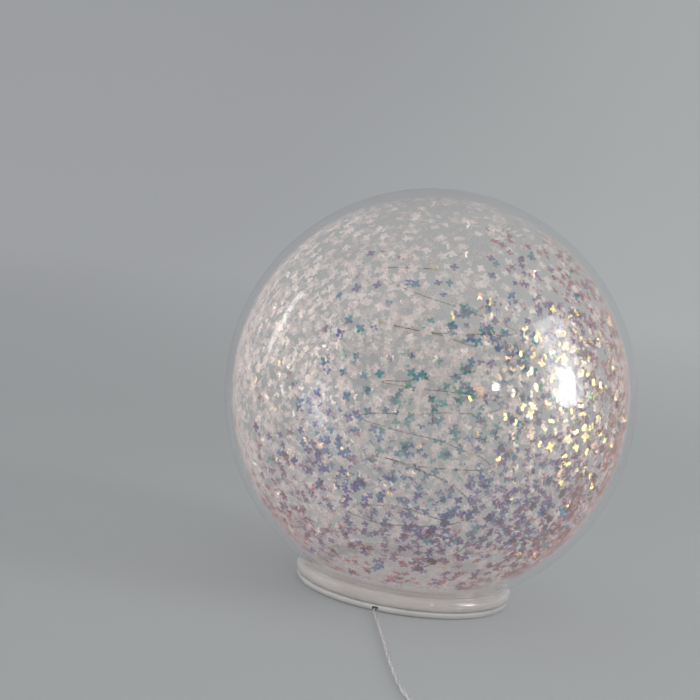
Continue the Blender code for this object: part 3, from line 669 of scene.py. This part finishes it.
def make_wire(material):
    """Two fine lacquered wires, twisted together and kinked where they were handled."""
    line = [wire_point(0.0) - Vector((0, 0, WIRE_TAIL))]
    for i in range(WIRE_STEPS + 1):
        share = i / WIRE_STEPS
        place = wire_point(share)
        kink = Vector([noise.noise(Vector((share * 60.0, axis * 9.0, 0.5))) for axis in range(3)])
        ease = min(1.0, share / 0.03)
        line.append(place + kink * WIRE_KINK * ease)
    wire = twisted_pair("led_wire", line, WIRE_OFFSET, WIRE_STRAND, WIRE_PITCH, 5, material, 1.5)
    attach(wire, "base")
    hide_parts("light_wire")


def make_drops(material):
    """Resin drops on the wire, a little longer along it than across."""
    points = []
    faces = []
    for n in range(BEAD_COUNT):
        share = (n + 1) / BEAD_COUNT
        place = wire_point(share)
        along = (wire_point(min(1.0, share + 0.002)) - wire_point(share - 0.002)).normalized()
        inward = Vector((-place.x, -place.y, 0.0)).normalized()
        centre = place + inward * BEAD_OFFSET
        turn = along.to_track_quat("Z", "Y")
        first = len(points)
        rows, sides = 12, 14
        for row in range(1, rows):
            angle = math.pi * row / rows
            reach = BEAD_HALF_WIDTH * math.sin(angle) ** 0.85
            for k in range(sides):
                a = 2 * math.pi * k / sides
                points.append(centre + turn @ Vector((
                    reach * math.cos(a), reach * math.sin(a),
                    BEAD_HALF_LENGTH * math.cos(angle))))
        points.append(centre + turn @ Vector((0, 0, BEAD_HALF_LENGTH)))
        points.append(centre + turn @ Vector((0, 0, -BEAD_HALF_LENGTH)))
        top, bottom = len(points) - 2, len(points) - 1
        for row in range(rows - 2):
            for k in range(sides):
                a = first + row * sides + k
                b = first + row * sides + (k + 1) % sides
                faces.append((a, a + sides, b + sides, b))
        last = first + (rows - 2) * sides
        for k in range(sides):
            faces.append((top, first + k, first + (k + 1) % sides))
            faces.append((bottom, last + (k + 1) % sides, last + k))
    drops = mesh_object("resin_drops", points, faces, material)
    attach(drops, "base")
    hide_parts(*[f"led_bead_{n + 1:02d}" for n in range(BEAD_COUNT)])


make_wire(moulded("lacquered_copper", (0.16, 0.11, 0.08), (0.30, 0.20, 0.14), 0.35,
                  metallic=0.7))
make_drops(clear_plastic("resin", (0.93, 0.90, 0.80), 0.10, 0.25))


# ---------------------------------------------------------------- CAD nodes

def dress(material, *names):
    for name in names:
        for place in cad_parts[name].material_slots:
            place.material = material


dress(plug_material(), "base_plug")
dress(clear_plastic("clear_rubber", (0.86, 0.86, 0.85), 0.06, 0.45),
      "plug_seal", "cable_gland", "strain_relief")
dress(moulded("tie_plastic", (0.42, 0.42, 0.41), (0.50, 0.50, 0.49), 0.42), "coil_tie")
dress(moulded("pack_plastic", (0.45, 0.45, 0.438), (0.50, 0.50, 0.487), 0.42, 1400.0, 0.30),
      "battery_case", "battery_cover")
dress(moulded("dark_plastic", (0.012, 0.012, 0.013), (0.035, 0.035, 0.037), 0.45, 1500.0, 0.3),
      "driver_chip", "switch_body", "switch_knob")
dress(moulded("cell_sleeve", (0.035, 0.06, 0.11), (0.05, 0.085, 0.15), 0.24, coat=0.4),
      "cell_1", "cell_2")
dress(moulded("plated_steel", (0.55, 0.54, 0.52), (0.74, 0.73, 0.71), 0.28, 700.0, 0.1, 1.0),
      "contact_spring_1", "contact_spring_2", "negative_plate", "positive_plate",
      "bridge_plate", "link_pin_1", "link_pin_2")
dress(moulded("circuit_board", (0.012, 0.085, 0.035), (0.02, 0.14, 0.055), 0.4, 1800.0, 0.2),
      "circuit_board")


# ---------------------------------------------------------------- stage and light

STAGE_FLAT = 0.30                # radius of the flat floor
STAGE_BEND = 1.9                 # radius of its turn into the wall
STAGE_TOP = 3.0
CARD_DISTANCE = 0.8
WINDOW = (0.969, 0.0, 0.247)     # its direction, along the view's right, up and back


def make_stage():
    """A pale floor that turns up gently into a wall all round, and a dark card by the camera.

    The wall glows a little, more than the floor and more at +X, in place of a lit room.
    """
    wall = STAGE_FLAT + STAGE_BEND
    profile = [(0.0, 0.0), (STAGE_FLAT / 2, 0.0), (STAGE_FLAT, 0.0)]
    profile += arc((STAGE_FLAT, STAGE_BEND), (STAGE_BEND, STAGE_BEND), -math.pi / 2, 0.0, 24)[1:]
    profile += [(wall, STAGE_TOP), (0.0, STAGE_TOP)]
    made = new_material("stage_grey")
    tree = made.node_tree
    place = node(tree, "TexCoord").outputs["Object"]
    cloud = node(tree, "TexNoise", [("Vector", place), ("Scale", 2.0), ("Detail", 3.0)])
    tone = ramp(tree, cloud.outputs["Fac"], [(0.3, (0.270, 0.277, 0.281)),
                                             (0.7, (0.280, 0.287, 0.291))])
    lit = node(tree, "BsdfDiffuse", [("Color", tone)]).outputs[0]
    across = node(tree, "MapRange", [
        ("Value", node(tree, "SeparateXYZ", [("Vector", place)]).outputs["X"]),
        ("From Min", -0.5), ("From Max", 0.6)]).outputs["Result"]
    shade = ramp(tree, across, [(0.0, (0.182, 0.184, 0.194)), (0.42, (0.240, 0.248, 0.248)),
                                (1.0, (0.264, 0.277, 0.275))])
    rising = node(tree, "MapRange", [
        ("Value", node(tree, "SeparateXYZ", [("Vector", place)]).outputs["Z"]),
        ("From Min", 0.0), ("From Max", 0.10), ("To Min", 0.62), ("To Max", 1.0)])
    glow = node(tree, "Emission", [("Color", shade), ("Strength", rising.outputs["Result"])])
    output(tree, node(tree, "AddShader", [(0, lit), (1, glow.outputs[0])]).outputs[0])
    floor = turned("stage_floor", profile, 96, made)
    floor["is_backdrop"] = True
    dark = new_material("dark_card")
    cloth = node(dark.node_tree, "BsdfDiffuse", [("Color", grey(0.03))])
    output(dark.node_tree, cloth.outputs[0])
    middle = Vector((0.0, 0.0, GLOBE_CENTRE)) + VIEW_BACK * CARD_DISTANCE
    corners = [middle + VIEW_RIGHT * x + VIEW_UP * y
               for x, y in ((-0.75, -0.9), (1.0, -0.9), (1.0, 0.55), (-0.75, 0.55))]
    card = mesh_object("stage_card", corners, [(0, 1, 2, 3)], dark)
    card.visible_camera = False
    card.visible_diffuse = False
    card.visible_shadow = False
    card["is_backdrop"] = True


def area_light(name, direction, distance, size, power, colour=(1.0, 1.0, 1.0)):
    """A panel that faces the globe, in a direction along the view's right, up and back."""
    data = bpy.data.lights.new(name, "AREA")
    data.shape = "RECTANGLE"
    data.size, data.size_y = size
    data.energy = power
    data.color = colour
    centre = Vector((0.0, 0.0, GLOBE_CENTRE))
    toward = (VIEW_RIGHT * direction[0] + VIEW_UP * direction[1]
              + VIEW_BACK * direction[2]).normalized()
    light = bpy.data.objects.new(name, data)
    light.location = centre + toward * distance
    light.rotation_mode = "QUATERNION"
    light.rotation_quaternion = toward.to_track_quat("Z", "Y")
    light.visible_camera = False
    bpy.context.scene.collection.objects.link(light)
    return light


def make_light(flakes):
    """Window light from the right, soft light from above and glints on the flakes alone."""
    area_light("window", WINDOW, 1.0, (0.18, 0.36), 2.0)
    area_light("curtain", WINDOW, 1.05, (0.40, 1.3), 7.0)
    area_light("left_strip", (-0.85, 0.42, -0.1), 1.1, (0.07, 0.5), 0.5)
    area_light("lamp", (0.55, 0.05, 0.83), 0.9, (0.05, 0.05), 0.40, (1.0, 0.94, 0.84))
    ceiling = area_light("ceiling", (0.1, 1.0, 0.2), 1.7, (2.6, 2.6), 10.0)
    ceiling.visible_glossy = False
    fill = area_light("fill", (-0.45, 0.70, 0.75), 1.2, (1.2, 1.2), 17.0)
    fill.visible_glossy = False
    lit = bpy.data.collections.new("fill_lit")
    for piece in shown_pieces():
        lit.objects.link(piece)
    fill.light_linking.receiver_collection = lit
    glints = bpy.data.collections.new("glint_lit")
    glints.objects.link(flakes)
    for name, direction, distance, power in (
            ("right_glints", (0.93, -0.25, 0.25), 0.35, 0.65),
            ("left_glints", (-0.966, 0.255, 0.05), 0.50, 0.45)):
        light = area_light(name, direction, distance, (0.20, 0.20), power, (1.0, 0.98, 0.84))
        light.light_linking.receiver_collection = glints


make_stage()
make_light(flakes)

scene = bpy.context.scene
scene.view_settings.view_transform = "Standard"
scene.cycles.transparent_max_bounces = 24
scene.cycles.max_bounces = 8
